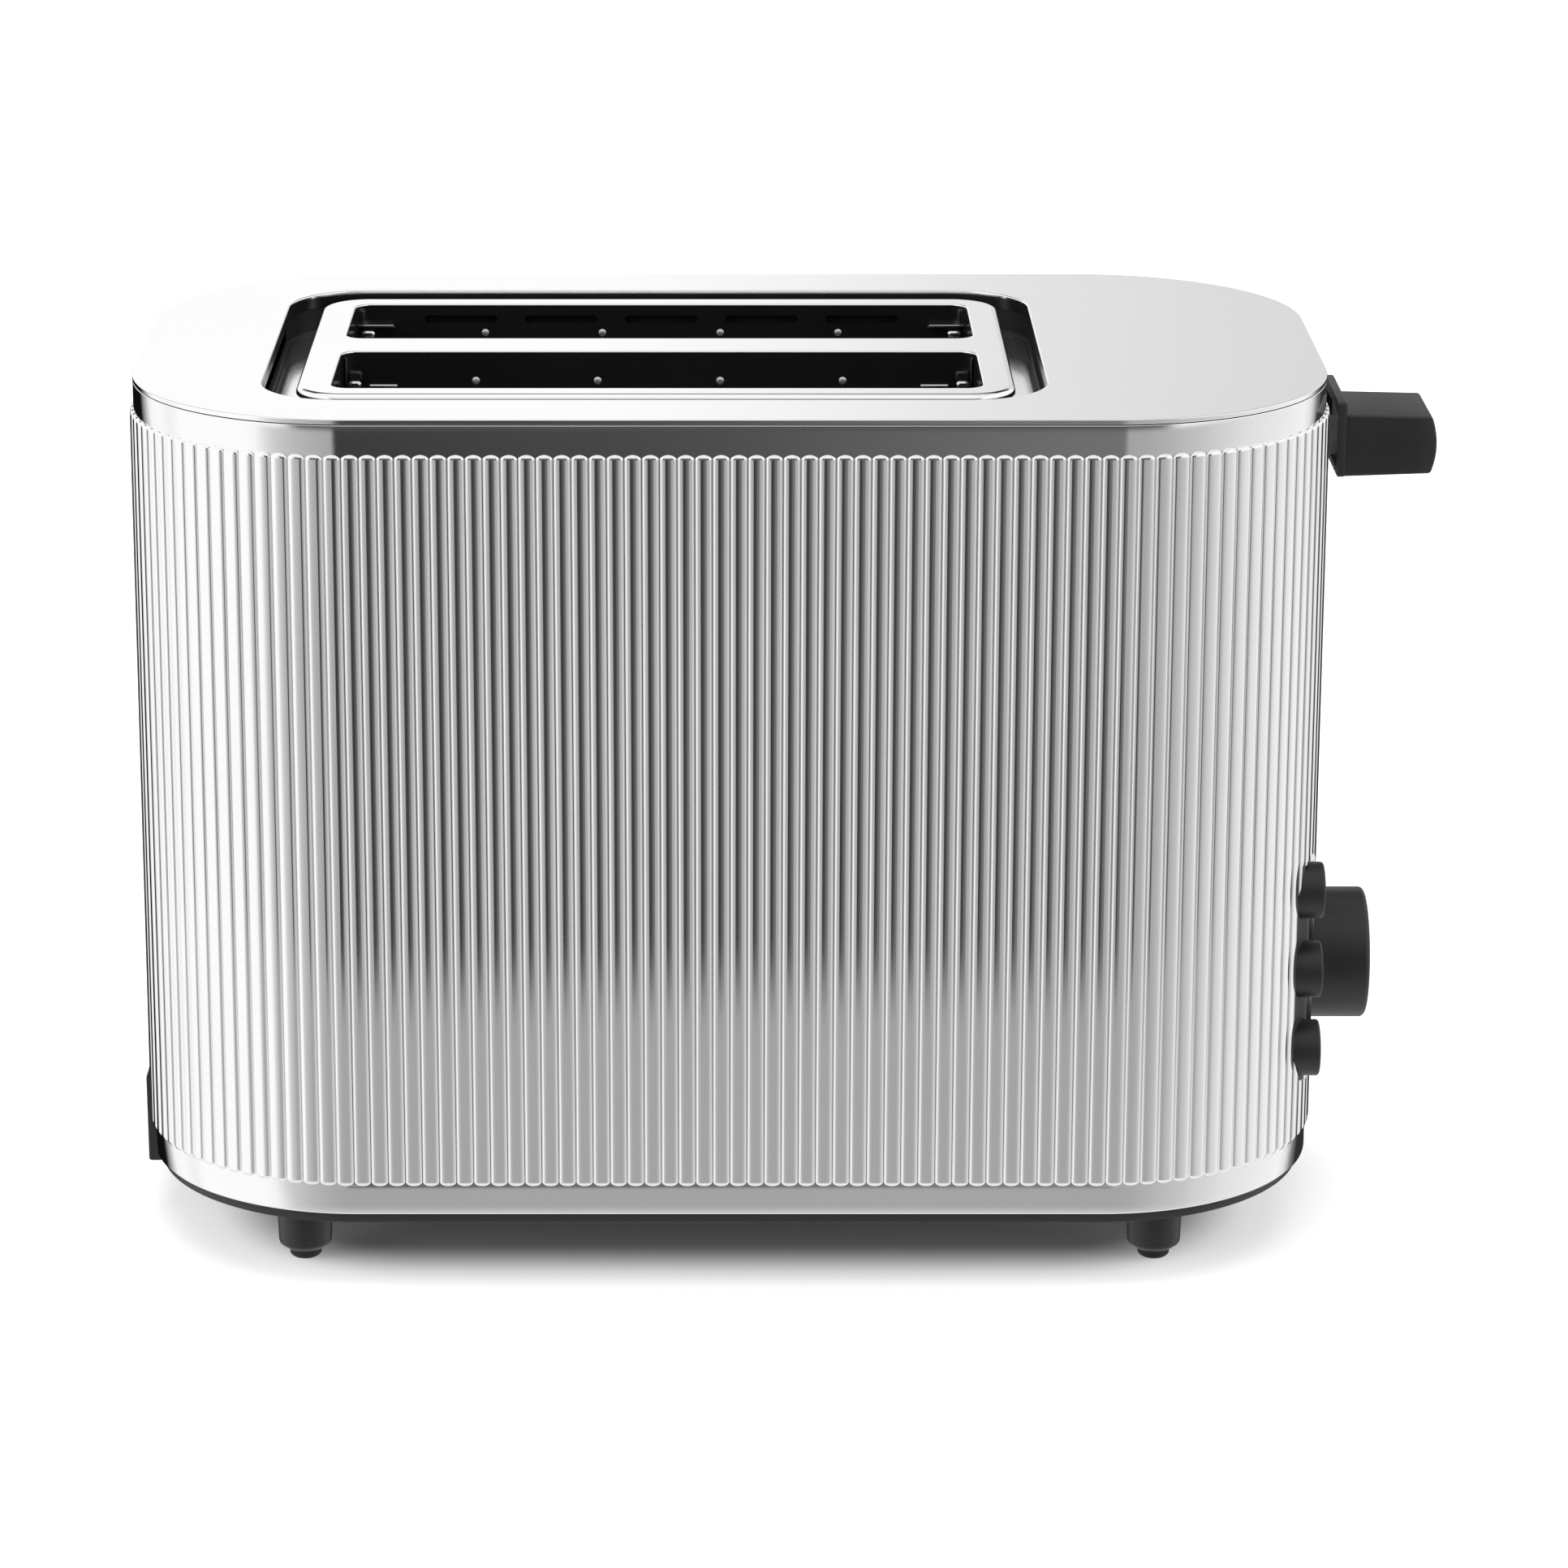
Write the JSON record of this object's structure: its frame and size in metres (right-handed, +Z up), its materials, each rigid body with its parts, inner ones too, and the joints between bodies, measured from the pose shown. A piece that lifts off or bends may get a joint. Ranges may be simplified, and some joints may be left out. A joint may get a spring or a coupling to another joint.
{
  "type": "toaster",
  "caption": "Two-slice toaster with a ribbed steel sleeve, flat top plate, side lever, browning knob, push buttons and a pull-out crumb tray.",
  "frame": {"origin": "on the table, under the middle of the whole toaster with its lever and tray front", "axes": "+X along the body towards the lever and the controls, +Y towards the back, +Z up"},
  "size_m": [0.303, 0.1588, 0.205],
  "materials": {
    "ribbed_steel": "satin, pressed ribs",
    "satin_steel": "fine satin",
    "dark_enamel": "dark gloss",
    "black_plastic": "fine matte texture",
    "pad_rubber": "matte rubber",
    "zinc_sheet": "plain rolled sheet",
    "bright_sheet": "bright rolled sheet",
    "mica": "pressed mica",
    "heater_ribbon": "oxidised ribbon",
    "polished_bar": "polished",
    "spring_steel": "bright wire",
    "iron_core": "plain iron",
    "coil_copper": "enamelled copper",
    "board_green": "solder mask",
    "switch_black": "moulded",
    "terminal_white": "moulded"
  },
  "bodies": {
    "housing": {"body_shell": "ribbed_steel", "top_plate": "satin_steel", "well_liner": "dark_enamel", "slot_frame": "satin_steel", "base_plate": "black_plastic", "sleeve_upstands": "black_plastic", "tray_rails": "black_plastic", "board_posts": "black_plastic", "foot_posts": "black_plastic", "foot_pads": "pad_rubber", "control_panel": "black_plastic", "lever_slot_liner": "black_plastic", "far_end_plate": "zinc_sheet", "lever_end_plate": "zinc_sheet", "front_reflector": "bright_sheet", "rear_reflector": "bright_sheet", "front_heater_board": "mica", "centre_heater_board": "mica", "rear_heater_board": "mica", "front_heater_ribbon": "heater_ribbon", "centre_heater_ribbon": "heater_ribbon", "rear_heater_ribbon": "heater_ribbon", "carriage_slide": "polished_bar", "return_spring": "spring_steel", "latch_magnet": "iron_core", "magnet_coil": "coil_copper", "control_board": "board_green", "control_dial": "switch_black", "upper_switch": "switch_black", "middle_switch": "switch_black", "lower_switch": "switch_black", "terminal_block": "terminal_white", "cord_gland": "black_plastic"},
    "carriage": {"lever_handle": "black_plastic", "lever_arm": "zinc_sheet", "carriage_bracket": "zinc_sheet", "keeper_plate": "iron_core", "bread_rack_front": "zinc_sheet", "bread_rack_rear": "zinc_sheet"},
    "front_outer_guide": {"front_outer_bread_guide": "bright_sheet"},
    "front_inner_guide": {"front_inner_bread_guide": "bright_sheet"},
    "rear_outer_guide": {"rear_outer_bread_guide": "bright_sheet"},
    "rear_inner_guide": {"rear_inner_bread_guide": "bright_sheet"},
    "browning_dial": {"browning_knob": "black_plastic"},
    "upper_push": {"upper_button": "black_plastic"},
    "middle_push": {"middle_button": "black_plastic"},
    "lower_push": {"lower_button": "black_plastic"},
    "crumb_tray": {"crumb_tray_pan": "zinc_sheet", "crumb_tray_sides": "zinc_sheet", "crumb_tray_front": "black_plastic"}
  },
  "joints": [
    {"name": "lever_slide", "type": "slide", "parent": "housing", "child": "carriage", "axis": [0, 0, 1], "range_m": [-0.075, 0], "stiffness_N_per_m": 60, "springref_m": 0.06, "deforming": ["return_spring"]},
    {"name": "front_outer_guide_slide", "type": "slide", "parent": "housing", "child": "front_outer_guide", "axis": [0, 1, 0], "range_m": [0, 0.0075]},
    {"name": "front_inner_guide_slide", "type": "slide", "parent": "housing", "child": "front_inner_guide", "axis": [0, -1, 0], "range_m": [0, 0.0075]},
    {"name": "rear_outer_guide_slide", "type": "slide", "parent": "housing", "child": "rear_outer_guide", "axis": [0, -1, 0], "range_m": [0, 0.0075]},
    {"name": "rear_inner_guide_slide", "type": "slide", "parent": "housing", "child": "rear_inner_guide", "axis": [0, 1, 0], "range_m": [0, 0.0075]},
    {"name": "browning_turn", "type": "hinge", "parent": "housing", "child": "browning_dial", "pos_m": [0.13275, 0, 0.054], "axis": [1, 0, 0], "range_deg": [-135, 135]},
    {"name": "upper_press", "type": "slide", "parent": "housing", "child": "upper_push", "axis": [-1, 0, 0], "range_m": [0, 0.002], "stiffness_N_per_m": 400, "springref_m": -0.002},
    {"name": "middle_press", "type": "slide", "parent": "housing", "child": "middle_push", "axis": [-1, 0, 0], "range_m": [0, 0.002], "stiffness_N_per_m": 400, "springref_m": -0.002},
    {"name": "lower_press", "type": "slide", "parent": "housing", "child": "lower_push", "axis": [-1, 0, 0], "range_m": [0, 0.002], "stiffness_N_per_m": 400, "springref_m": -0.002},
    {"name": "tray_slide", "type": "slide", "parent": "housing", "child": "crumb_tray", "axis": [-1, 0, 0], "range_m": [0, 0.165]}
  ],
  "couplings": [
    {"joint": "front_outer_guide_slide", "follows": "lever_slide", "ratio": -0.1},
    {"joint": "front_inner_guide_slide", "follows": "lever_slide", "ratio": -0.1},
    {"joint": "rear_outer_guide_slide", "follows": "lever_slide", "ratio": -0.1},
    {"joint": "rear_inner_guide_slide", "follows": "lever_slide", "ratio": -0.1}
  ]
}
